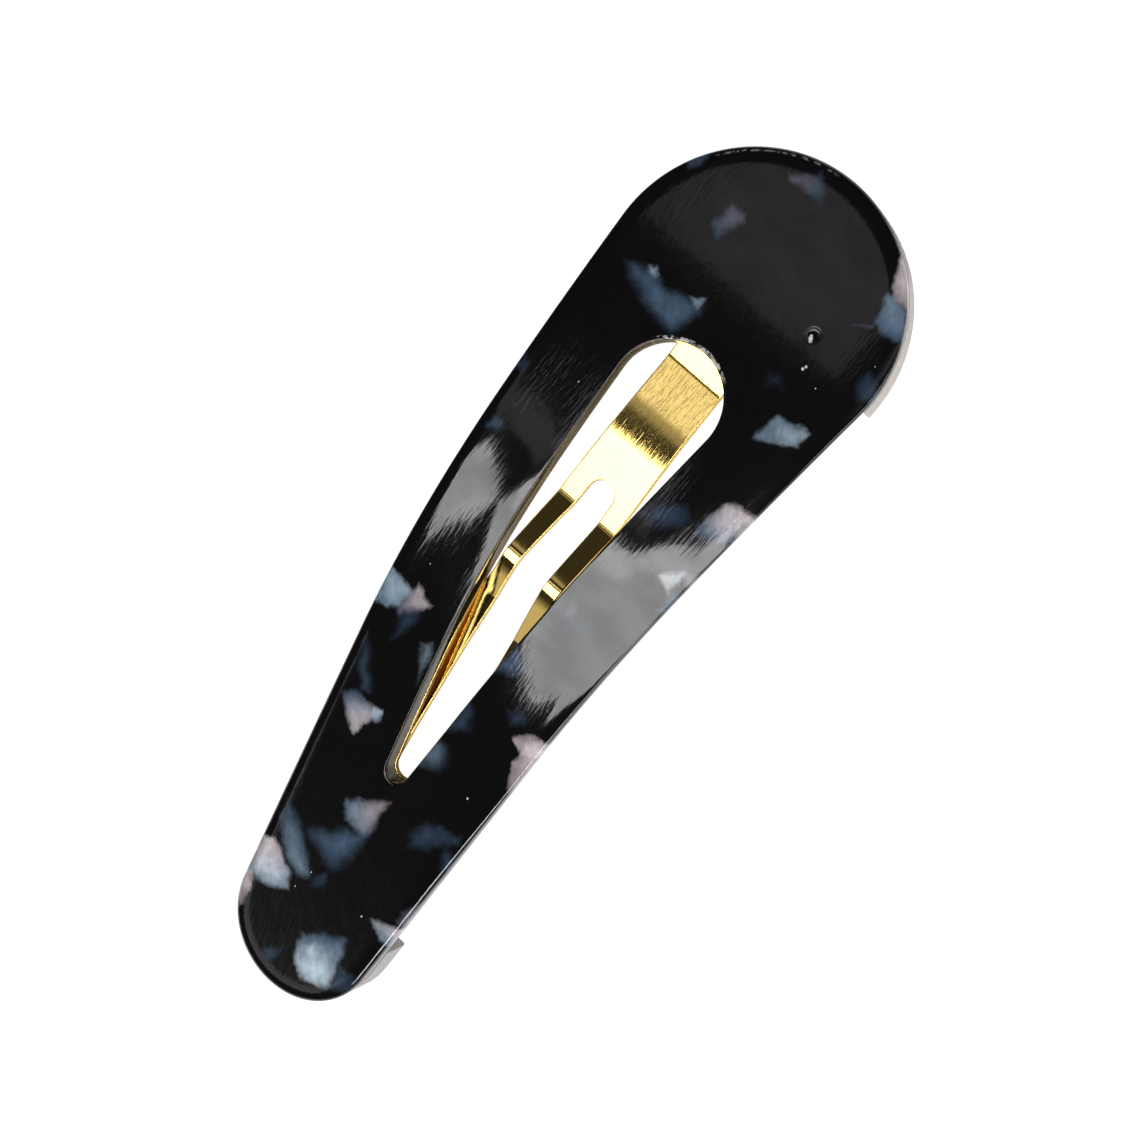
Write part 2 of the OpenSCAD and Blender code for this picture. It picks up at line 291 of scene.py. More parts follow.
def top_plate():
    rim, lip = plate_outline(POLISH_W), polished_opening(LIP_W)
    low_rim, low_lip = plate_outline(LOW_EDGE_R), polished_opening(LIP_H)
    low_edge = rounded(LOW_EDGE_R, LOW_EDGE_R, LOW_EDGE_STEPS)
    low_lip_edge = rounded(LIP_H, LIP_H, LOW_LIP_STEPS)
    lip_edge = rounded(LIP_W, LIP_H, LIP_STEPS)
    rows = [at_depth(between(lip, rim, k), 0) for k in shares(FACE_ROWS)]
    rows += [at_depth(plate_outline(w * POLISH_W), h * POLISH_H) for w, h in POLISH_LINE]
    rows = [polished(row) for row in rows]
    rows += [at_depth(plate_outline(w), PLATE_T - h) for w, h in reversed(low_edge)]
    rows += [at_depth(between(low_rim, low_lip, k), PLATE_T) for k in shares(UNDER_ROWS)]
    rows += [at_depth(polished_opening(w), PLATE_T - h) for w, h in low_lip_edge]
    rows += [polished(at_depth(polished_opening(w), h)) for w, h in reversed(lip_edge)]
    mesh = ring_mesh(rows)
    sink_pit(mesh)
    return mesh


def sink_pit(mesh):
    """Round pit in the head's top face: finer faces round it, then a tilted floor pressed into them."""
    flat = mesh.verts.layers.float_vector["flat"]

    def off(vert):
        return (Vector(vert[flat].xy) - PIT).length if vert[flat].z < PLATE_T / 2 else HEAD_R

    def near(edge, reach):
        offs = [off(v) for v in edge.verts]
        return min(offs) < reach and max(offs) < HEAD_R

    for reach in PIT_FINER:
        edges = [e for e in mesh.edges if near(e, reach)]
        bmesh.ops.subdivide_edges(mesh, edges=edges, cuts=1, use_grid_fill=True)
    for vert in mesh.verts:
        away = off(vert) / PIT_R
        if away < 1:
            s, y, depth = vert[flat]
            tilted = math.tan(math.radians(PIT_TILT)) * (PIT.x - s)
            vert.co = place(s, y, depth + (PIT_DEPTH + tilted) * (1 - away ** PIT_STEEP))


def straight_runs(corners, count):
    """Points along straight runs between corners, so many to each run, without the last one."""
    row = []
    for a, b in zip(corners, corners[1:]):
        row += [mix(a, b, i / count) for i in range(count)]
    return row


NOTCH_W = TONGUE_W + 2 * ROOT_GAP
NOTCH_END = ROOT_S + SHEET_T / 2 + ROOT_GAP
NOTCH_STEPS = 10


def frame_inner(outset):
    """The frame's inner outline: the opening, with a notch at its wide end for the tongue's root."""
    half = NOTCH_W / 2 + outset
    end = NOTCH_END + outset
    radius = OPEN_HEAD_R + outset
    meets = math.degrees(math.asin(half / radius))
    turn = 90 + math.degrees(math.asin((OPEN_HEAD_R - OPEN_TAIL_R) / OPEN_GAP))
    corner = Vector((-OPEN_AT + radius * math.cos(math.radians(meets)), half))
    notch = straight_runs([Vector((end, 0)), Vector((end, half)), corner], NOTCH_STEPS)
    quarter = notch + arc(-OPEN_AT, radius, meets, turn, HEAD_STEPS // 2 - 2 * NOTCH_STEPS)
    rest = open_outline(outset)[HEAD_STEPS:]
    mirrored = [Vector((p.x, -p.y)) for p in quarter[:0:-1]]
    last = math.radians(turn)
    start = Vector((-OPEN_AT + radius * math.cos(last), -radius * math.sin(last)))
    return [start] + mirrored + quarter + rest


def frame_outer(inset):
    head, tail = HEAD_R - FRAME_MARGIN - inset, TAIL_R - FRAME_MARGIN - inset
    return teardrop(0, head, tail, ENDS_GAP, SIDE_BULGE)


STAMP_R, STAMP_STEPS = 0.07, 3
FRAME_TOP_ROWS, FRAME_LOW_ROWS = 8, 12


def frame_sheet():
    inner, outer = frame_inner(STAMP_R), frame_outer(STAMP_R)
    low = FRAME_DEPTH + SHEET_T
    edge = rounded(STAMP_R, STAMP_R, STAMP_STEPS)
    rows = [at_depth(between(inner, outer, k), FRAME_DEPTH) for k in shares(FRAME_TOP_ROWS)]
    rows += [at_depth(frame_outer(w), FRAME_DEPTH + h) for w, h in edge]
    rows += [at_depth(frame_outer(w), low - h) for w, h in reversed(edge)]
    rows += [at_depth(between(outer, inner, k), low) for k in shares(FRAME_LOW_ROWS)]
    rows += [at_depth(frame_inner(w), low - h) for w, h in edge]
    rows += [at_depth(frame_inner(w), FRAME_DEPTH + h) for w, h in reversed(edge)]
    return ring_mesh(rows)


# Slope of the tongue's top face against the plate: distance from the root in millimetres, and slope in
# degrees, above zero where the tongue sinks toward its tip. Past the crest the leg of positive y and the
# other one have their own slopes, and they come level between the two distances given below.
TONGUE_SLOPES = [
    (0.00, 9.6), (3.60, 9.6), (3.80, 2.3), (7.60, 2.4), (7.90, 2.6), (9.45, 3.7), (10.75, 4.4), (11.60, 5.0),
    (12.20, 5.9), (13.00, 6.2), (14.70, 5.6), (17.50, 4.0), (18.60, 3.6), (19.10, -18.6), (24.75, -18.6),
    (25.35, -4.0), (25.95, 1.5), (26.40, 14.0),
]
LEG_SLOPES = {
    1: [
        (29.60, 14.0), (30.20, 7.0), (31.80, 6.0), (33.50, 4.5), (35.00, 3.5), (37.00, 2.0), (39.00, 1.0),
        (41.00, 0.0), (54.80, 0.0),
    ],
    -1: [(31.50, 14.0), (32.10, 6.0), (34.50, 6.0), (35.10, 2.0), (38.50, 2.0), (39.00, 0.0), (54.80, 0.0)],
}
LEGS_LEVEL_OUT = (43.0, 50.0)
# Sides of the tongue and of its slot: share of the length, and half width as a share of the full one
TONGUE_SIDES = [
    (0.00, 0.94), (0.10, 0.94), (0.28, 1.00), (0.35, 1.00), (0.50, 0.95), (0.55, 1.04), (0.63, 1.06),
    (0.74, 0.92), (1.00, 0.92),
]
SLOT_SIDES = [(0.00, 0.78), (0.04, 0.78), (0.15, 0.86), (0.32, 0.93), (0.55, 1.00), (1.00, 1.00)]


def read_off(table, spot):
    """Value of a table of points at a spot, along straight lines between its rows."""
    for (a, low), (b, high) in zip(table, table[1:]):
        if spot <= b:
            return mix(low, high, (spot - a) / (b - a))
    return table[-1][1]


TAPS = 7


def eased(table, share, reach):
    """Value of a table of shares with its corners rounded over a reach to each side."""
    taps = range(1 - TAPS, TAPS)
    weights = [TAPS - abs(t) for t in taps]
    values = [read_off(table, min(max(share + reach * t / TAPS, 0), 1)) for t in taps]
    return sum(w * v for w, v in zip(weights, values)) / sum(weights)


# The slot's length and ends and the tip's radius in millimetres, and the shares of the length over which
# the corners in the tongue's and the slot's sides are rounded
SLOT_LEN = TONGUE_LEN - SLOT_FROM - TIP_LAND
SLOT_END = SLOT_FROM + SLOT_LEN
SLOT_START_R = SLOT_W / 2 * SLOT_SIDES[0][1]
TIP_R = TONGUE_W / 2 * TONGUE_SIDES[-1][1]
TONGUE_EASE, SLOT_EASE = 0.01, 0.02
SLOPE_STEP = 0.05


def sunk(slopes):
    """How far the tongue has sunk after each small step from its root, in millimetres."""
    sinks, sink = [], 0
    for k in range(int(TONGUE_LEN / SLOPE_STEP) + 2):
        sinks.append(sink)
        sink += SLOPE_STEP * math.tan(math.radians(read_off(slopes, (k + 0.5) * SLOPE_STEP)))
    return sinks


SINKS = {side: sunk(TONGUE_SLOPES + slopes) for side, slopes in LEG_SLOPES.items()}


def sink_at(d, side):
    k = round(max(d, 0) / SLOPE_STEP)
    return mix(SINKS[side][k], SINKS[-1][k], swell(d, *LEGS_LEVEL_OUT))


def half_width(d):
    """Half of the tongue's width at a distance from its root, with its round tip."""
    left = TONGUE_LEN - d
    if left < TIP_R:
        return math.sqrt(max(TIP_R ** 2 - (TIP_R - left) ** 2, 0))
    return TONGUE_W / 2 * eased(TONGUE_SIDES, d / TONGUE_LEN, TONGUE_EASE)


def slot_half(d):
    """Half of the slot's width at a distance from the tongue's root, with its round ends."""
    into, left = d - SLOT_FROM, SLOT_END - d
    if into <= 0 or left <= 0:
        return 0
    if into < SLOT_START_R:
        return math.sqrt(SLOT_START_R ** 2 - (SLOT_START_R - into) ** 2)
    if left < SLOT_W / 2:
        return math.sqrt((SLOT_W / 2) ** 2 - (SLOT_W / 2 - left) ** 2)
    return SLOT_W / 2 * eased(SLOT_SIDES, into / SLOT_LEN, SLOT_EASE)


# Steps along the tongue in millimetres, the turns in degrees between cuts through its round ends, and
# the turns at which its rounded root is cut
STATION_STEP, LEAST_STEP = 0.25, 0.02
END_TURN = 9
NOSE_TURNS = (90, 70, 50, 30, 15)
TONGUE_ROWS = 5


def round_end(start, radius, toward):
    """Distances from the root at even turns of a round end."""
    return [start + toward * radius * (1 - math.cos(math.radians(a))) for a in range(0, 91, END_TURN)]


def stations():
    """Distances from the root at which the tongue is cut, each with the share of its thickness there."""
    marks = [STATION_STEP * k for k in range(1, int(TONGUE_LEN / STATION_STEP))]
    marks += round_end(SLOT_FROM, SLOT_START_R, 1) + round_end(SLOT_END, SLOT_W / 2, -1)
    marks += round_end(TONGUE_LEN, TIP_R, -1) + [0]
    kept = []
    for d in sorted(marks):
        if not kept or d - kept[-1] > LEAST_STEP:
            kept.append(d)
    turns = [math.radians(a) for a in NOSE_TURNS]
    return [(-SHEET_T / 2 * math.sin(t), math.cos(t)) for t in turns] + [(d, 1) for d in kept]


def tongue_section(d, thick, side):
    """Flat places round one half of the tongue, cut across at a distance from its root."""
    wide, slot = half_width(max(d, 0)), slot_half(d)
    edge, lip = min(STAMP_R, wide / 2), min(STAMP_R, slot / 2)
    middle = FRAME_DEPTH + SHEET_T / 2 + sink_at(d, side)
    top, low = middle - SHEET_T / 2 * thick, middle + SHEET_T / 2 * thick
    bite = min(STAMP_R, (low - top) / 3)
    lip_bite = bite if slot > 0 else 0
    across = [mix(slot + lip, wide - edge, k) for k in [0] + shares(TONGUE_ROWS) + [1]]
    loop = [(slot, top + lip_bite)] + [(y, top) for y in across]
    loop += [(wide, top + bite), (wide, low - bite)]
    loop += [(y, low) for y in reversed(across)] + [(slot, low - lip_bite)]
    return [(ROOT_S - d, side * y, depth) for y, depth in loop]


def tongue_half(side):
    """One half of the tongue. It is left open along the middle line where there is no slot."""
    rows = [tongue_section(d, thick, side) for d, thick in stations()]
    open_here = [slot_half(d) > 0 for d, thick in stations()]
    mesh, grid = laid_out(rows)
    count = len(rows[0])
    for k in range(len(rows) - 1):
        for i in range(count):
            if i == count - 1 and not (open_here[k] or open_here[k + 1]):
                continue
            j = (i + 1) % count
            mesh.faces.new((grid[k][i], grid[k][j], grid[k + 1][j], grid[k + 1][i]))
    return mesh


def tongue_sheet():
    whole = bmesh.new()
    whole.verts.layers.float_vector.new("flat")
    for side in (1, -1):
        mesh = tongue_half(side)
        part = bpy.data.meshes.new("half")
        mesh.to_mesh(part)
        whole.from_mesh(part)
        mesh.free()
        bpy.data.meshes.remove(part)
    return whole


# Shader maths

class Signal:
    """A value in a finish. Arithmetic on it adds Math nodes."""

    def __init__(self, finish, socket):
        self.finish = finish
        self.socket = socket

    def math(self, operation, *values):
        return self.finish.node("ShaderNodeMath", {"operation": operation}, dict(enumerate(values)))

    def __add__(self, other):
        return self.math("ADD", self, other)

    def __sub__(self, other):
        return self.math("SUBTRACT", self, other)

    def __rsub__(self, other):
        return self.math("SUBTRACT", other, self)

    def __mul__(self, other):
        return self.math("MULTIPLY", self, other)

    def __truediv__(self, other):
        return self.math("DIVIDE", self, other)

    __radd__ = __add__
    __rmul__ = __mul__

    def absolute(self):
        return self.math("ABSOLUTE", self)

    def least(self, other):
        return self.math("MINIMUM", self, other)

    def ramp(self, low, high):
        """0 below low, 1 above high and a smooth rise between them."""
        inputs = {"Value": self, "From Min": low, "From Max": high}
        return self.finish.node("ShaderNodeMapRange", {"interpolation_type": "SMOOTHSTEP"}, inputs)


class Finish:
    """A material with one Principled shader, made of nodes."""

    def __init__(self, name, **fixed):
        self.material = bpy.data.materials.new(name)
        self.material.use_nodes = True
        self.tree = self.material.node_tree
        self.shader = next(n for n in self.tree.nodes if n.type == "BSDF_PRINCIPLED")
        for socket, value in fixed.items():
            self.shader.inputs[socket.replace("_", " ")].default_value = value

    def node(self, kind, settings=None, inputs=None, output=0):
        """Adds a node. Settings are set first. Inputs are values or links, by socket name or number."""
        made = self.tree.nodes.new(kind)
        for name, value in (settings or {}).items():
            setattr(made, name, value)
        for key, value in (inputs or {}).items():
            if isinstance(value, Signal):
                self.tree.links.new(value.socket, made.inputs[key])
            else:
                made.inputs[key].default_value = value
        return Signal(self, made.outputs[output])

    def link(self, signal, socket):
        self.tree.links.new(signal.socket, self.shader.inputs[socket])

    def places(self):
        """The flat place of the shaded point, in millimetres."""
        return self.node("ShaderNodeAttribute", {"attribute_name": "flat"}, output="Vector")

    def vector(self, operation, *values, output="Vector"):
        return self.node("ShaderNodeVectorMath", {"operation": operation}, dict(enumerate(values)), output)

    def on_face(self, flat):
        """A flat place without its depth."""
        return self.vector("MULTIPLY", flat, (1, 1, 0))

    def depth_of(self, flat):
        return self.node("ShaderNodeSeparateXYZ", inputs={0: flat}, output="Z")

    def noise(self, where, scale, detail=2.0, rough=0.5, stretch=(1, 1, 1), output="Fac"):
        stretched = self.vector("MULTIPLY", where, stretch)
        inputs = {"Vector": stretched, "Scale": scale, "Detail": detail, "Roughness": rough}
        return self.node("ShaderNodeTexNoise", {}, inputs, output)

    def blend(self, share, a, b):
        """Colour a turned into colour b by a share."""
        colours = {6: a, 7: b}
        for key, value in colours.items():
            if not isinstance(value, Signal):
                colours[key] = (*value, 1.0)
        return self.node("ShaderNodeMix", {"data_type": "RGBA"}, {0: share, **colours}, output=2)

    def bump(self, height, distance):
        """Bump whose height of 1 stands a distance in metres above the surface."""
        inputs = {"Height": height, "Distance": distance, "Strength": 1.0}
        return self.node("ShaderNodeBump", {}, inputs, "Normal")


# Pearl flakes in the black acetate. Each has its corners as flat (s, y) places in order round it, a
# colour at each end, the direction in degrees that the second colour lies in, the softness of its edge
# in millimetres and how strongly it shows.
PEARL, PALE, STEEL, BLUE, DIM_BLUE = (
    (0.54, 0.66, 0.76), (0.34, 0.44, 0.54), (0.19, 0.27, 0.36), (0.080, 0.130, 0.205), (0.032, 0.055, 0.096)
)
WHITE, ROSE, PINK, LILAC = (0.80, 0.80, 0.80), (0.74, 0.66, 0.69), (0.44, 0.37, 0.39), (0.19, 0.175, 0.245)
FLAKES = [
    ([(-74.1, -2.4), (-73.4, -1.2), (-72.1, -0.6), (-70.5, -0.4), (-69.5, -1.4), (-68.2, -3.8),
      (-68.2, -4.4), (-69.9, -4.6), (-71.5, -4.9), (-73.0, -4.8),
      (-73.9, -3.3)], PEARL, BLUE, 20, 0.5, 1.0),
    # A white streak on the first flake: a painted glint on the pearl
    ([(-73.2, -3.2), (-71.2, -1.3), (-70.7, -1.6), (-72.8, -3.9)], PEARL, WHITE, 30, 0.5, 0.6),
    ([(-73.1, -5.0), (-70.3, -4.8), (-70.3, -6.4), (-71.0, -7.1),
      (-72.4, -7.0)], BLUE, DIM_BLUE, -90, 0.6, 0.5),
    ([(-75.2, 1.6), (-74.5, 2.0), (-73.5, 1.1), (-72.8, 0.3), (-74.1, 0.6),
      (-75.3, 1.0)], BLUE, DIM_BLUE, 0, 0.6, 0.6),
    ([(-73.3, 5.9), (-71.6, 7.2), (-69.7, 7.4), (-69.4, 6.4), (-70.0, 6.1), (-71.0, 5.6),
      (-72.4, 5.7)], PINK, ROSE, 30, 0.3, 0.9),
    ([(-70.0, 7.4), (-65.9, 7.7), (-65.2, 6.2), (-65.6, 5.2), (-66.8, 3.5), (-68.3, 2.6), (-68.7, 3.2),
      (-69.3, 4.9), (-69.9, 6.2)], PALE, ROSE, 35, 0.5, 1.0),
    ([(-66.2, 2.0), (-66.5, 3.0), (-65.0, 5.5), (-63.1, 6.8), (-61.3, 7.2), (-61.4, 5.7), (-62.7, 4.5),
      (-64.5, 2.6), (-65.8, 1.7)], STEEL, DIM_BLUE, -20, 0.7, 0.9),
    ([(-66.2, 1.2), (-65.1, 1.3), (-64.3, 0.6), (-65.4, 0.2)], DIM_BLUE, DIM_BLUE, 0, 0.6, 0.9),
    ([(-64.3, 0.7), (-63.2, 2.7), (-62.9, 3.9), (-61.7, 4.0), (-60.9, 3.0), (-59.9, 1.5), (-58.8, 0.0),
      (-58.2, -0.7), (-61.3, -0.8), (-63.2, -0.3)], DIM_BLUE, BLUE, 15, 0.9, 0.9),
    ([(-58.9, 1.4), (-57.9, 2.4), (-57.2, 2.6), (-56.2, 1.2), (-54.1, -0.8), (-54.7, -1.0),
      (-57.8, -0.8), (-58.9, -0.4)], STEEL, PINK, -60, 0.6, 0.9),
    ([(-56.6, -4.5), (-55.5, -4.1), (-53.5, -5.0), (-53.1, -6.3), (-54.3, -6.9),
      (-55.6, -6.0)], DIM_BLUE, DIM_BLUE, 0, 0.9, 0.9),
    ([(-54.5, -6.7), (-53.3, -6.1), (-52.5, -7.9), (-53.1, -8.2)], DIM_BLUE, DIM_BLUE, 0, 0.7, 0.9),
    ([(-56.4, -8.0), (-55.5, -7.5), (-54.3, -7.3), (-54.4, -8.0), (-55.4, -8.9),
      (-56.3, -8.8)], DIM_BLUE, DIM_BLUE, 0, 0.7, 0.9),
    ([(-66.1, -7.6), (-65.5, -6.2), (-64.5, -4.5), (-64.0, -6.3), (-63.4, -7.3), (-62.8, -8.2),
      (-66.1, -8.2)], STEEL, ROSE, 0, 0.4, 0.9),
    ([(-63.5, -7.2), (-61.2, -7.5), (-59.7, -8.3), (-63.4, -8.4)], LILAC, LILAC, 0, 0.5, 0.9),
    ([(-52.2, 4.9), (-51.5, 5.9), (-49.5, 8.0), (-48.4, 7.1), (-48.4, 5.6), (-48.7, 4.4), (-49.1, 3.6),
      (-50.4, 4.4)], ROSE, BLUE, 40, 0.4, 0.95),
    ([(-49.2, 4.8), (-48.6, 4.8), (-48.3, 3.8), (-49.1, 3.5), (-49.5, 3.9)], PALE, PEARL, 0, 0.3, 0.9),
    ([(-48.2, 6.9), (-46.4, 7.7), (-44.6, 8.9), (-43.8, 8.7), (-44.9, 7.5), (-46.2, 6.7),
      (-47.6, 6.0)], BLUE, DIM_BLUE, 0, 0.8, 0.7),
    ([(-40.8, 10.4), (-37.0, 10.8), (-37.1, 8.2), (-37.4, 7.3), (-39.5, 7.4),
      (-40.2, 8.4)], STEEL, PALE, 0, 0.4, 1.0),
    ([(-40.1, 7.2), (-39.4, 7.6), (-37.5, 7.4), (-36.5, 7.4), (-36.8, 6.6), (-37.3, 5.2), (-38.0, 5.6),
      (-39.2, 6.4)], LILAC, ROSE, 0, 0.4, 0.8),
    ([(-42.1, 6.5), (-40.0, 7.2), (-38.8, 6.6), (-38.2, 5.7),
      (-40.2, 5.7)], DIM_BLUE, DIM_BLUE, 0, 0.8, 0.8),
    ([(-43.3, 2.7), (-42.0, 3.5), (-40.5, 3.8), (-40.1, 3.3), (-41.5, 2.7)], STEEL, PALE, 0, 0.7, 0.7),
    ([(-49.7, -1.2), (-46.6, -1.4), (-46.6, -2.9), (-47.7, -3.5),
      (-48.9, -3.2)], STEEL, DIM_BLUE, -90, 0.9, 0.7),
    ([(-45.7, -1.7), (-41.3, -2.2), (-42.2, -3.2), (-43.9, -3.5)], BLUE, DIM_BLUE, -90, 0.9, 0.6),
    ([(-37.9, -2.6), (-34.4, -2.9), (-35.4, -4.1), (-35.9, -4.8),
      (-37.1, -4.4)], BLUE, BLUE, 0, 0.8, 0.8),
    ([(-40.6, -6.4), (-40.0, -5.7), (-39.2, -6.1), (-39.3, -7.3),
      (-39.9, -7.5)], DIM_BLUE, DIM_BLUE, 0, 0.8, 0.8),
    ([(-46.1, -9.4), (-45.2, -8.8), (-43.5, -8.5), (-40.9, -8.5), (-40.0, -10.0), (-40.4, -10.7),
      (-46.1, -10.3)], PINK, ROSE, 0, 0.3, 0.7),
    ([(-42.3, -8.6), (-41.8, -7.6), (-41.3, -7.0), (-40.9, -7.6), (-39.7, -8.2), (-40.0, -9.3),
      (-39.9, -10.7), (-41.8, -10.5)], ROSE, PINK, 0, 0.3, 0.8),
    ([(-31.0, -5.8), (-29.7, -5.1), (-29.3, -6.7), (-29.7, -7.9),
      (-30.4, -7.4)], DIM_BLUE, DIM_BLUE, 0, 0.9, 0.9),
    ([(-30.3, -5.0), (-28.7, -4.6), (-28.5, -5.5), (-29.7, -5.8)], LILAC, LILAC, 0, 0.6, 0.5),
    ([(-22.2, 10.7), (-21.1, 10.7), (-20.9, 10.0), (-21.4, 9.4),
      (-22.0, 9.7)], DIM_BLUE, BLUE, 0, 0.5, 0.9),
    ([(-16.9, 12.2), (-15.1, 12.2), (-15.5, 11.4), (-16.5, 11.2)], DIM_BLUE, DIM_BLUE, 0, 0.6, 0.8),
    ([(-19.3, -6.4), (-18.9, -5.2), (-17.8, -5.4), (-16.7, -6.3), (-16.1, -7.3), (-16.6, -8.1),
      (-17.6, -8.3), (-18.5, -7.5)], DIM_BLUE, DIM_BLUE, 0, 0.9, 0.8),
    ([(-22.9, -11.0), (-22.1, -9.2), (-21.4, -9.9), (-20.4, -10.9)], WHITE, PEARL, 0, 0.4, 0.75),
    ([(-24.7, -11.1), (-22.4, -11.0), (-22.1, -12.2), (-23.8, -12.2)], BLUE, BLUE, 0, 0.5, 0.9),
    ([(-21.3, -11.5), (-20.8, -10.7), (-20.2, -10.9), (-19.6, -12.4),
      (-21.4, -12.4)], PINK, LILAC, 0, 0.4, 0.7),
    ([(-17.6, -9.5), (-16.5, -9.1), (-15.1, -9.5), (-14.0, -9.7), (-13.3, -10.6), (-12.9, -12.9),
      (-14.7, -12.8), (-16.6, -12.2), (-17.3, -10.8)], BLUE, ROSE, 0, 0.5, 1.0),
    ([(-8.3, -8.1), (-7.9, -7.9), (-5.7, -8.2), (-5.3, -9.1), (-4.8, -10.8), (-5.0, -11.3),
      (-6.3, -11.5), (-7.3, -10.1)], STEEL, PALE, -70, 0.4, 0.9),
    ([(-4.1, 10.7), (-3.7, 9.7), (-2.9, 8.6), (-2.7, 8.0), (-3.2, 7.2), (-3.5, 6.0), (-5.4, 6.4),
      (-5.6, 8.5), (-4.7, 9.4)], DIM_BLUE, BLUE, 0, 0.9, 0.9),
    ([(-5.5, 7.1), (-3.3, 7.4), (-3.0, 5.0), (-2.1, 2.8), (-3.1, 2.5), (-4.5, 2.7), (-6.0, 3.5),
      (-6.0, 4.3)], BLUE, BLUE, 0, 0.9, 0.8),
    ([(-3.4, 8.4), (-3.1, 8.7), (-2.7, 8.0), (-3.0, 7.6), (-3.4, 7.6)], PALE, PALE, 0, 0.4, 0.8),
    ([(-3.1, 3.4), (-2.7, 4.1), (-2.1, 2.9), (-2.5, 2.7), (-3.0, 2.8)], PALE, PALE, 0, 0.4, 0.8),
    ([(2.6, 5.8), (3.2, 7.0), (5.4, 6.8), (5.5, 5.2), (5.0, 4.6), (3.7, 5.2)], BLUE, LILAC, 0, 0.6, 0.6),
    ([(10.1, 4.4), (10.5, 4.7), (11.5, 3.4), (11.6, 2.5), (10.3, 2.2)], LILAC, LILAC, 0, 0.5, 0.5),
    ([(10.3, 2.5), (11.6, 2.8), (12.2, 2.6), (11.7, 1.8), (10.9, 1.0),
      (10.2, 0.6)], BLUE, DIM_BLUE, -90, 0.6, 0.6),
    ([(-4.0, -5.9), (-3.2, -5.4), (-2.9, -6.3), (-3.5, -7.0)], DIM_BLUE, DIM_BLUE, 0, 0.8, 0.4),
    ([(5.2, -10.6), (5.6, -9.4), (7.0, -8.9), (8.1, -8.7), (8.5, -9.3), (8.0, -10.8), (7.0, -12.1),
      (6.1, -12.4)], BLUE, STEEL, 0, 0.5, 1.0),
    ([(8.2, -9.4), (8.9, -8.6), (10.1, -7.9), (11.5, -7.1), (11.5, -8.6), (9.4, -10.5),
      (8.0, -11.2)], PINK, ROSE, 0, 0.4, 1.0),
    ([(4.0, -8.1), (4.3, -8.0), (5.4, -9.5), (5.2, -9.8)], DIM_BLUE, BLUE, 0, 0.3, 0.6),
    ([(-0.1, -12.6), (0.7, -11.9), (2.1, -11.9), (1.9, -13.5), (1.2, -14.2),
      (0.2, -14.0)], DIM_BLUE, DIM_BLUE, 0, 0.6, 0.9),
    ([(5.4, 11.6), (6.1, 12.9), (7.5, 12.1), (7.4, 11.0), (6.3, 11.0)], BLUE, BLUE, 0, 0.5, 0.8),
]
# Bright flecks, and in the last three a painted highlight in the head's pit: flat place and radius
SPECKS_AND_PIT_HIGHLIGHT = [
    (-1.15, -7.40, 0.13), (-0.85, -7.50, 0.12), (-1.7, -9.3, 0.06), (-14.2, 6.8, 0.06), (-49.1, -6.7, 0.10),
    (-65.2, -4.2, 0.09), (-34.5, 7.4, 0.05), (2.9, -11.9, 0.05), (-67.5, 2.4, 0.06), (-65.3, 1.8, 0.07),
    # The last three lie in the pit: a painted highlight
    (0.98, -6.30, 0.15), (1.18, -6.15, 0.19), (1.40, -6.05, 0.12),
]


def flake_depth(finish, where, corners):
    """How far inside a convex flake a place lies, in millimetres from its nearest side."""
    middle = sum((Vector(c) for c in corners), Vector((0, 0))) / len(corners)
    inside = None
    for a, b in zip(corners, corners[1:] + corners[:1]):
        a, b = Vector(a), Vector(b)
        inward = Vector((a.y - b.y, b.x - a.x)).normalized()
        if inward.dot(middle - a) < 0:
            inward = -inward
        gap = finish.vector("DOT_PRODUCT", where, (inward.x, inward.y, -inward.dot(a)), output="Value")
        inside = gap if inside is None else inside.least(gap)
    return inside


ACETATE_BLACK = (0.0022, 0.0021, 0.0023)
# Pales of the painted highlights on chipped rims, and of the flecks and the painted highlight in the pit
CHIP_HIGHLIGHT_PALE, SPECK_AND_HIGHLIGHT_PALE = (0.50, 0.47, 0.44), (0.55, 0.55, 0.52)
# Heights of the streaks that polishing, brushing and sawing left, in millimetres
PLATE_STREAKS, GOLD_STREAKS, PAD_STREAKS = 0.009, 0.0045, 0.008
FIBRES_TURN = 0.6
# A flake shows from the first of these shares of its softness, measured inward from its side, and in
# full from the second. At its side it has a share of its strength, and all of it some way in.
FLAKE_FADE = (-0.55, 0.8)
SIDE_STRENGTH, FULL_STRENGTH_IN = 0.6, 1.4
# Shares of a chip highlight's width and of a speck's radius over which they fade out, and the share of
# their reach along a rim where the chip highlights begin to thin out
CHIP_FADE, SPECK_FADE = (0.6, 1.2), (0.6, 1.3)
CHIPS_THIN_FROM = 0.7
# Chipped rims, painted pale as highlights where the rough chips catch the light: centre along s, radius,
# the chips' width, the direction in degrees that they lie round, the most that they reach to each side of
# it, and how strongly they show
CHIPPED_RIM_HIGHLIGHTS = [
    (POLISHED_AT, POLISHED_R + 0.20, 0.18, 10, 48, 0.85),
    (0, HEAD_R - 0.42, 0.10, 30, 26, 0.28),
]


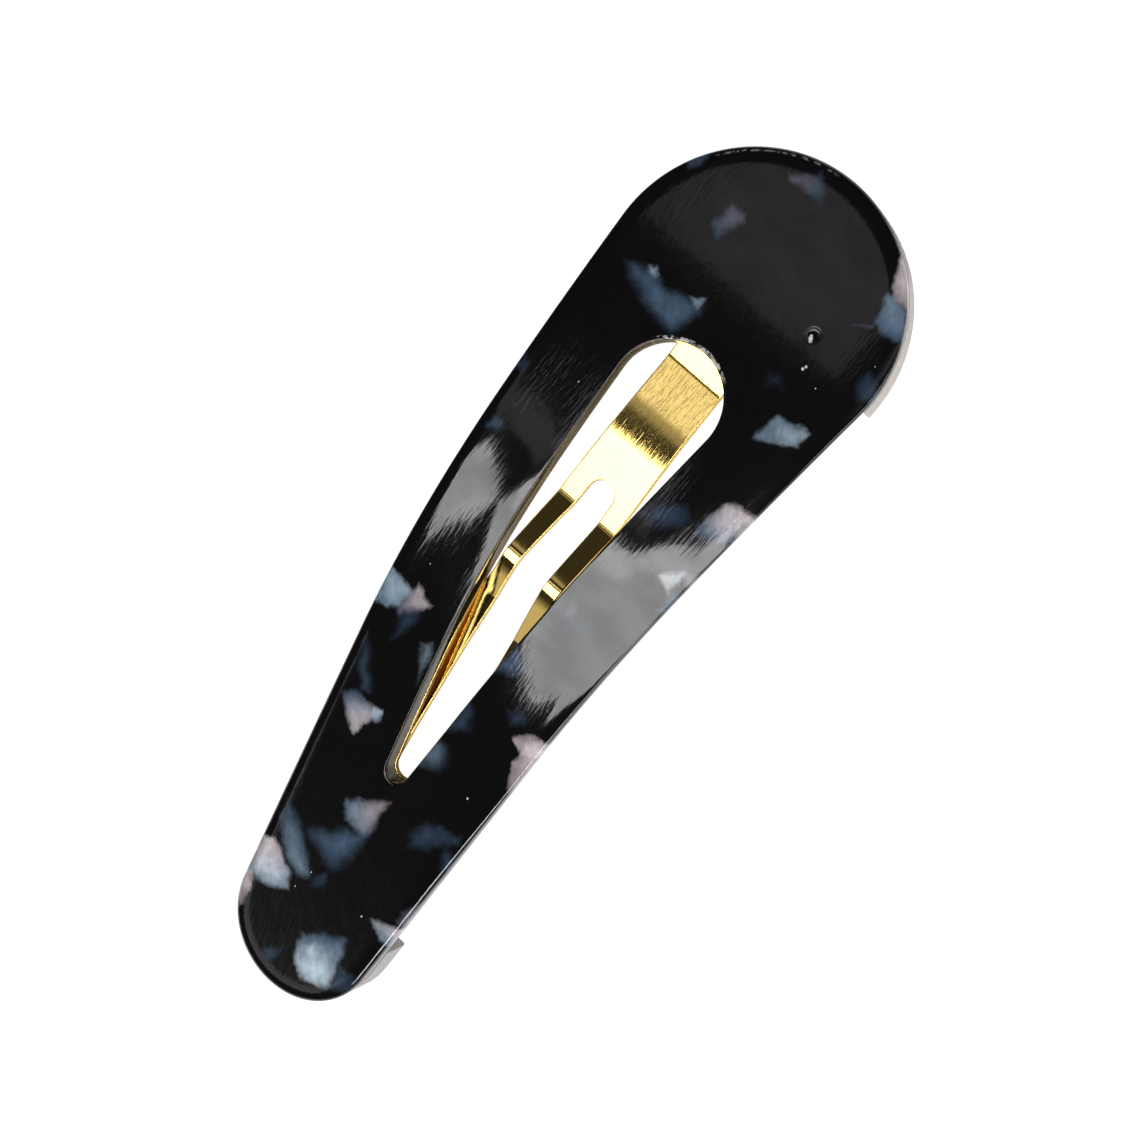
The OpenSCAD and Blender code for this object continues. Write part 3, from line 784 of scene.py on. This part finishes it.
def chipped_rim_highlights(finish, flat, colour):
    """Adds painted highlights on the chipped rims of the opening's wide end and of the head."""
    ragged = finish.noise(flat, 1.7, 3, 0.6, stretch=(1, 1, 0)).ramp(0.46, 0.56)
    wander = 0.25 * (finish.noise(flat, 1.1, 2, stretch=(1, 1, 0)) - 0.5)
    for centre, radius, width, middle, reach, strength in CHIPPED_RIM_HIGHLIGHTS:
        out = finish.on_face(finish.vector("SUBTRACT", flat, (centre, 0, 0)))
        away = finish.vector("LENGTH", out, output="Value")
        off = (away + wander - radius).absolute()
        toward = (math.cos(math.radians(middle)), math.sin(math.radians(middle)), 0)
        facing = finish.vector("DOT_PRODUCT", out, toward, output="Value") / away
        near = facing.ramp(math.cos(math.radians(reach)), math.cos(math.radians(reach * CHIPS_THIN_FROM)))
        shown = (1 - off.ramp(width * CHIP_FADE[0], width * CHIP_FADE[1])) * ragged * near * strength
        # Painted highlight: the chipped rim turns pale where it would catch the light
        colour = finish.blend(shown, colour, CHIP_HIGHLIGHT_PALE)
    return colour


def frayed(finish, flat):
    """Flat places, shifted so that the flakes' sides wander and fray, with 1 in place of their depth."""
    wobble = finish.noise(flat, 0.55, 2, stretch=(1, 1, 0), output="Color")
    fray = finish.noise(flat, 2.6, 3, 0.65, stretch=(1, 1, 0), output="Color")
    shift = finish.vector("SUBTRACT", wobble, (0.5, 0.5, 0.5))
    fine = finish.vector("MULTIPLY", finish.vector("SUBTRACT", fray, (0.5, 0.5, 0.5)), (0.45, 0.45, 0))
    shift = finish.vector("MULTIPLY_ADD", shift, (1.1, 1.1, 0), fine)
    moved = finish.vector("ADD", finish.on_face(flat), shift)
    return finish.vector("ADD", moved, (0, 0, 1))


def flake_tone(finish, where, corners, near, far, turn):
    """Colour of a flake, from one at its near end to another at its far end."""
    if near == far:
        return near
    toward = Vector((math.cos(math.radians(turn)), math.sin(math.radians(turn))))
    spans = [toward.dot(Vector(c)) for c in corners]
    along = finish.vector("DOT_PRODUCT", where, (toward.x, toward.y, 0), output="Value")
    return finish.blend(along.ramp(min(spans), max(spans)), near, far)


def flakes(finish, where, glow, colour):
    """Adds the pearl flakes, each dimmed here and there by the glow."""
    for corners, near, far, turn, soft, strength in FLAKES:
        inside = flake_depth(finish, where, corners)
        edge = inside.ramp(FLAKE_FADE[0] * soft, FLAKE_FADE[1] * soft)
        body = SIDE_STRENGTH + (1 - SIDE_STRENGTH) * inside.ramp(0, FULL_STRENGTH_IN)
        shown = edge * body * glow * strength
        colour = finish.blend(shown, colour, flake_tone(finish, where, corners, near, far, turn))
    return colour


def specks_and_pit_highlight(finish, flat, colour):
    """Adds the bright flecks and the painted highlight in the head's pit."""
    for s, y, radius in SPECKS_AND_PIT_HIGHLIGHT:
        away = finish.vector("DISTANCE", finish.on_face(flat), (s, y, 0), output="Value")
        shown = 1 - away.ramp(radius * SPECK_FADE[0], radius * SPECK_FADE[1])
        colour = finish.blend(shown, colour, SPECK_AND_HIGHLIGHT_PALE)
    return colour


def acetate():
    """Black acetate, polished, with pale pearl flakes."""
    finish = Finish("black_acetate", IOR=1.56)
    flat = finish.places()
    where = frayed(finish, flat)
    turn = {"Vector": flat, "Rotation": (0, 0, FIBRES_TURN)}
    turned = finish.node("ShaderNodeMapping", {"vector_type": "TEXTURE"}, turn)
    fibres = finish.noise(turned, 1.0, 3, 0.6, stretch=(0.7, 2.8, 0)).ramp(0.28, 0.72)
    clouds = finish.noise(flat, 0.8, 2, stretch=(1, 1, 0)).ramp(0.3, 0.7)
    glow = 0.60 + 0.16 * fibres + 0.24 * clouds
    colour = flakes(finish, where, glow, ACETATE_BLACK)
    colour = specks_and_pit_highlight(finish, flat, colour)
    colour = chipped_rim_highlights(finish, flat, colour)
    finish.link(colour, "Base Color")
    streaks = finish.noise(flat, 1.0, 2, 0.5, stretch=(0.6, 3.5, 1))
    finish.link(finish.bump(streaks, PLATE_STREAKS * MM), "Normal")
    from_pit = finish.vector("DISTANCE", finish.on_face(flat), (*PIT, 0), output="Value")
    pit_wall = from_pit.ramp(PIT_R * 0.70, PIT_R * 0.80) - from_pit.ramp(PIT_R, PIT_R * 1.06)
    finish.link(0.065 + 0.03 * finish.noise(flat, 0.8, 3) + 0.55 * pit_wall, "Roughness")
    smudges = finish.noise(flat, 0.28, 4, 0.55, stretch=(1.3, 0.8, 0)).ramp(0.30, 0.70)
    finish.link((0.12 + 0.38 * smudges) * (1 - pit_wall), "Coat Weight")
    return finish.material


# Two tones of the gold, and the dark brown of the frame's walls: painted shade
GOLD_DEEP, GOLD_BRIGHT, WALL_SHADE_BROWN = (0.90, 0.63, 0.185), (0.96, 0.69, 0.215), (0.22, 0.14, 0.05)


def gold(name, dull_shaded_walls):
    """Gold plated spring steel, brushed lengthwise; if asked, its cut walls are dull and painted brown as
    shade.
    """
    finish = Finish(name, Metallic=1.0)
    flat = finish.places()
    brushed = finish.noise(flat, 1.0, 3, 0.6, stretch=(0.35, 5.5, 1))
    grain = finish.noise(flat, 3.0, 2, 0.6, stretch=(0.5, 3.0, 1))
    tone = finish.blend(grain, GOLD_DEEP, GOLD_BRIGHT)
    rough = 0.03 + 0.05 * brushed
    if dull_shaded_walls:
        off = (finish.depth_of(flat) - (FRAME_DEPTH + SHEET_T / 2)).absolute()
        edge = 1 - off.ramp(SHEET_T / 2 - STAMP_R, SHEET_T / 2 - STAMP_R / 2)
        # Painted shade: the frame's walls turn dark brown; they are also rougher
        tone = finish.blend(edge, tone, WALL_SHADE_BROWN)
        rough = rough + 0.4 * edge
    finish.link(tone, "Base Color")
    finish.link(rough, "Roughness")
    finish.link(finish.bump(brushed, GOLD_STREAKS * MM), "Normal")
    return finish.material


# The two clouded tones of each pad. The pads are one acetate; the head pad is painted lighter and the
# tail pad darker, painted light and shade that make up for how differently the lamps light them
PAD_TONES_AND_PAINTED_SHADE = {
    "head_pad": ((0.43, 0.390, 0.355), (0.51, 0.470, 0.425)),
    "tail_pad": ((0.33, 0.320, 0.315), (0.39, 0.380, 0.375)),
}


def grey_acetate(name, dark, light):
    """Pale grey acetate of a pad, sawn and lightly polished, clouded between two tones."""
    finish = Finish(name, IOR=1.49)
    where = finish.vector("MULTIPLY", finish.node("ShaderNodeTexCoord", output="Object"), (1 / MM,) * 3)
    cloud = finish.noise(where, 0.5, 3, stretch=(1, 1, 2))
    lines = finish.noise(where, 2.2, 3, 0.6, stretch=(0.5, 0.5, 4))
    finish.link(finish.blend(cloud, dark, light), "Base Color")
    finish.link(0.28 + 0.2 * lines, "Roughness")
    finish.link(finish.bump(lines, PAD_STREAKS * MM), "Normal")
    return finish.material


def finish_pad(node, dark, light):
    """Gives a packed pad its finish."""
    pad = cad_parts[node]
    pad.data.materials.clear()
    pad.data.materials.append(grey_acetate("grey_acetate_" + node, dark, light))


# Studio, in metres

# Half size of the level papers, radius and height of the upright one, half sizes and middle of the strip
# in front, and how far below the floor each level sheet lies, so that no two lie in one plane
PAPER_HALF, WALL_R, WALL_H = 2.5, 2.4, 5.0
STRIP_HALF_X, STRIP_HALF_Y, STRIP_Y = 0.048, 0.007, -0.0155
PAPER_DROP, STRIP_DROP, MIRRORED_DROP = 0.00002, 0.00003, 0.00004


def paper(name, mesh, glow, albedo, drop=0.0):
    """Sheet of paper that glows, lowered by some metres."""
    finish = Finish(name, Roughness=0.9, Emission_Strength=glow)
    finish.shader.inputs["Base Color"].default_value = (albedo, albedo, albedo, 1)
    finish.shader.inputs["Emission Color"].default_value = (1, 1, 1, 1)
    finish.shader.inputs["Specular IOR Level"].default_value = 0.0
    data = bpy.data.meshes.new(name)
    mesh.to_mesh(data)
    mesh.free()
    data.materials.append(finish.material)
    piece = bpy.data.objects.new(name, data)
    bpy.context.scene.collection.objects.link(piece)
    piece.location.z = -drop
    return piece


def level_sheet(half_x, half_y, middle_y=0.0):
    """Level sheet at the height of the floor, with its half sizes in metres."""
    mesh = bmesh.new()
    bmesh.ops.create_grid(mesh, x_segments=8, y_segments=8, size=1)
    for vert in mesh.verts:
        vert.co = (vert.co.x * half_x, middle_y + vert.co.y * half_y, 0)
    return mesh


def upright_sheet(radius, height):
    """Sheet that stands all round the clip."""
    mesh = bmesh.new()
    bmesh.ops.create_cone(mesh, cap_ends=False, segments=64, radius1=radius, radius2=radius, depth=height)
    return mesh


def papers():
    """The white paper that is seen, the same paper as the clip mirrors it, with the clip's shade, and the
    bright paper in front of the clip, as its near walls mirror it."""
    seen = paper("paper", level_sheet(PAPER_HALF, PAPER_HALF), 0.97, 0.20, PAPER_DROP)
    behind = paper("paper_behind", upright_sheet(WALL_R, WALL_H), 1.0, 0.20)
    for piece in (seen, behind):
        piece.visible_glossy = piece.visible_diffuse = piece.visible_shadow = False
    mirrored = paper("paper_mirrored", level_sheet(PAPER_HALF, PAPER_HALF), 0.03, 0.80, MIRRORED_DROP)
    mirrored.visible_camera = False
    strip = level_sheet(STRIP_HALF_X, STRIP_HALF_Y, STRIP_Y)
    in_front = paper("paper_in_front", strip, 1.1, 0.0, STRIP_DROP)
    in_front.visible_camera = in_front.visible_diffuse = in_front.visible_shadow = False


# Height of the lamp panels, how far the key panel's edges are lifted over it, its turn in degrees, and how
# strongly the dark room glows
CARD_HEIGHT, EDGE_LIFT = 2.5, 0.01
KEY_TURN = 33.7
ROOM_GLOW = 0.035


def card(name, middle, half, radiance, turn=0, lift=0, colour=(1, 1, 1)):
    """Level lamp panel above the clip. Its middle and half sizes are slopes x / z and y / z seen from the
    clip. It is turned about the vertical by an angle in degrees, and lifted by some metres."""
    light = bpy.data.lights.new(name, "AREA")
    light.shape = "RECTANGLE"
    light.size, light.size_y = 2 * CARD_HEIGHT * half[0], 2 * CARD_HEIGHT * half[1]
    light.energy = radiance * math.pi * light.size * light.size_y
    light.color = colour
    lamp = bpy.data.objects.new(name, light)
    lamp.location = (CARD_HEIGHT * middle[0], CARD_HEIGHT * middle[1], CARD_HEIGHT + lift)
    lamp.rotation_euler.z = math.radians(turn)
    lamp.visible_camera = False
    bpy.context.scene.collection.objects.link(lamp)


def studio():
    papers()
    world = bpy.data.worlds.new("studio_dark")
    world.use_nodes = True
    background = world.node_tree.nodes["Background"]
    background.inputs["Color"].default_value = (1, 1, 1, 1)
    background.inputs["Strength"].default_value = ROOM_GLOW
    bpy.context.scene.world = world
    card("key_panel", (-0.251, 0.051), (0.300, 0.355), 4.0, turn=KEY_TURN)
    card("key_near_edge", (0.022, 0.092), (0.050, 0.2375), 1.3, turn=KEY_TURN, lift=EDGE_LIFT)
    card("key_far_edge", (-0.430, 0.319), (0.300, 0.032), 0.6, turn=KEY_TURN, lift=EDGE_LIFT)
    card("dim_panel", (0.045, 0.290), (0.020, 0.03), 0.35)
    card("dim_panel_high", (0.040, 0.50), (0.045, 0.17), 0.35)
    card("gold_panel", (0.105, 0.297), (0.040, 0.029), 1.20, colour=(1, 1, 1.12))
    card("head_panel", (0.369, 0.27), (0.062, 0.16), 0.31)
    card("tip_panel", (-1.115, 0.60), (0.025, 0.25), 0.08)
    card("leg_panel", (-1.44, 0.55), (0.30, 0.35), 0.55)
    card("edge_panel", (-0.35, -0.925), (1.35, 0.225), 9.0)
    settings = bpy.context.scene.view_settings
    settings.view_transform = "Standard"
    settings.look = "None"


# The camera's right and up directions, its place in metres, and its sensor and lens in millimetres
CAMERA_RIGHT = Vector((0.563023, -0.719837, -0.40600467))
CAMERA_UP = Vector((0.77177722, 0.63366247, -0.05321458))
CAMERA_SPOT = Vector((0.19734105, -0.18771859, 0.60666662))
CAMERA_SENSOR, CAMERA_LENS = 36.0, 244.042


def camera():
    """Camera at the photograph's angle and distance."""
    data = bpy.data.cameras.new("camera")
    data.sensor_width = CAMERA_SENSOR
    data.lens = CAMERA_LENS
    view = bpy.data.objects.new("camera", data)
    back = CAMERA_RIGHT.cross(CAMERA_UP).normalized()
    view.matrix_world = Matrix((*zip(CAMERA_RIGHT, CAMERA_UP, back, CAMERA_SPOT), (0, 0, 0, 1)))
    bpy.context.scene.collection.objects.link(view)
    bpy.context.scene.camera = view


camera()
studio()
finish_piece("plate_polished", top_plate(), "clip", "black_acetate", acetate(), "top_plate")
finish_piece("frame_stamped", frame_sheet(), "clip", "gold_steel", gold("gold_steel_frame", True), "frame")
finish_piece(
    "tongue_sprung", tongue_sheet(), "tongue", "gold_steel", gold("gold_steel_tongue", False), "tongue"
)
for node, tones in PAD_TONES_AND_PAINTED_SHADE.items():
    finish_pad(node, *tones)
